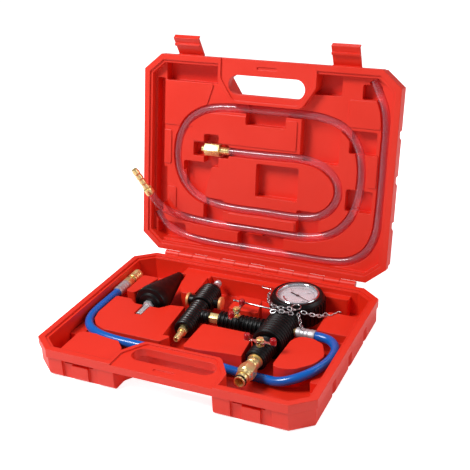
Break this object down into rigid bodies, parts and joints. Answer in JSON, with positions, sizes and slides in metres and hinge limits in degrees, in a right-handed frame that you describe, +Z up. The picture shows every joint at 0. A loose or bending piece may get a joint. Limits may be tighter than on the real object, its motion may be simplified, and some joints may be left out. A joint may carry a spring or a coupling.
{
  "type": "cooling system vacuum filler in a carrying case",
  "caption": "Air-driven cooling system vacuum and refill tool with gauge, hoses and cone adapter, packed in an open red blow-moulded carrying case.",
  "frame": {"origin": "middle of the closed case's plan at its underside", "axes": "+X right along the handle side, -Y the handle side, +Z up"},
  "size_m": [0.38, 0.3837, 0.3611],
  "materials": {
    "case_red": "satin blow-moulded",
    "steel": "satin",
    "chrome": "polished",
    "brass": "satin",
    "bronze": "sintered matte",
    "rubber": "matte",
    "black_plastic": "matte",
    "blue_hose": "glossy",
    "clear_hose": "clear glossy",
    "red_vinyl": "glossy",
    "white_dial": "matte",
    "lens": "clear"
  },
  "bodies": {
    "base": {"base_shell": "case_red", "hinge_pin": "steel"},
    "lid": {"lid_shell": "case_red", "latch_pins": "steel", "refill_plug": "brass", "refill_hose": "clear_hose", "refill_hose_end": "clear_hose", "refill_tip": "brass", "bleed_hose": "clear_hose"},
    "left_latch": {"latch_left": "case_red"},
    "right_latch": {"latch_right": "case_red"},
    "purge_tool": {"manifold_body": "brass", "grip_sleeve": "rubber", "front_sleeve": "rubber", "arm_sleeve": "rubber", "hanger_rod": "steel", "gauge_stem": "brass", "gauge_cup": "steel", "gauge_boot": "rubber", "gauge_bezel": "chrome", "gauge_lens": "lens", "gauge_dial": "white_dial", "gauge_movement": "brass", "venturi_body": "black_plastic", "silencer_discs": "bronze", "venturi_nipple": "brass", "air_inlet_plug": "chrome", "venturi_union": "brass", "front_coupler_body": "brass", "front_coupler_seal": "rubber", "port_ferrule": "chrome", "air_hose": "blue_hose", "hose_ferrule": "chrome", "hose_coupler_body": "brass", "hanger_chain": "steel", "s_hooks": "steel"},
    "front_coupler_grip": {"front_coupler_sleeve": "brass"},
    "hose_coupler_grip": {"hose_coupler_sleeve": "brass"},
    "left_valve": {"left_valve_ball": "chrome", "left_valve_stem": "brass", "left_valve_handle": "chrome", "left_valve_vinyl": "red_vinyl", "left_valve_nut": "brass"},
    "front_valve": {"front_valve_ball": "chrome", "front_valve_stem": "brass", "front_valve_handle": "chrome", "front_valve_vinyl": "red_vinyl", "front_valve_nut": "brass"},
    "gauge_needle": {"gauge_pointer": "black_plastic"},
    "cone": {"cone_adapter": "rubber", "cone_tube": "chrome"}
  },
  "joints": [
    {"name": "lid_hinge", "type": "hinge", "parent": "base", "child": "lid", "pos_m": [0, 0.1507, 0.04015], "axis": [-1, 0, 0], "range_deg": [-100.4, 0], "deforming": ["refill_hose_end", "refill_tip"]},
    {"name": "left_latch_pivot", "type": "hinge", "parent": "lid", "child": "left_latch", "pos_m": [-0.11875, 0.21066, 0.32724], "axis": [-1, 0, 0], "range_deg": [-50, 50]},
    {"name": "right_latch_pivot", "type": "hinge", "parent": "lid", "child": "right_latch", "pos_m": [0.1121, 0.21066, 0.32724], "axis": [-1, 0, 0], "range_deg": [-60, 40]},
    {"name": "tool_lift", "type": "slide", "parent": "base", "child": "purge_tool", "axis": [0, 0, 1], "range_m": [0, 0.08]},
    {"name": "cone_lift", "type": "slide", "parent": "base", "child": "cone", "axis": [0, 0, 1], "range_m": [0, 0.08]},
    {"name": "left_valve_turn", "type": "hinge", "parent": "purge_tool", "child": "left_valve", "pos_m": [0.026, 0.021, 0.0432], "axis": [0, 0, 1], "range_deg": [0, 90]},
    {"name": "front_valve_turn", "type": "hinge", "parent": "purge_tool", "child": "front_valve", "pos_m": [0.0845, -0.0385, 0.0432], "axis": [0, 0, 1], "range_deg": [0, 90]},
    {"name": "gauge_needle_turn", "type": "hinge", "parent": "purge_tool", "child": "gauge_needle", "pos_m": [0.0845, 0.094, 0.0398], "axis": [0, 0, 1], "range_deg": [0, 250], "stiffness_Nm_per_rad": 0.0001},
    {"name": "front_coupler_pull", "type": "slide", "parent": "purge_tool", "child": "front_coupler_grip", "axis": [0, 1, 0], "range_m": [0, 0.0038], "stiffness_N_per_m": 300, "springref_m": -0.002},
    {"name": "hose_coupler_pull", "type": "slide", "parent": "purge_tool", "child": "hose_coupler_grip", "axis": [0, -1, 0], "range_m": [0, 0.004], "stiffness_N_per_m": 300, "springref_m": -0.002}
  ]
}
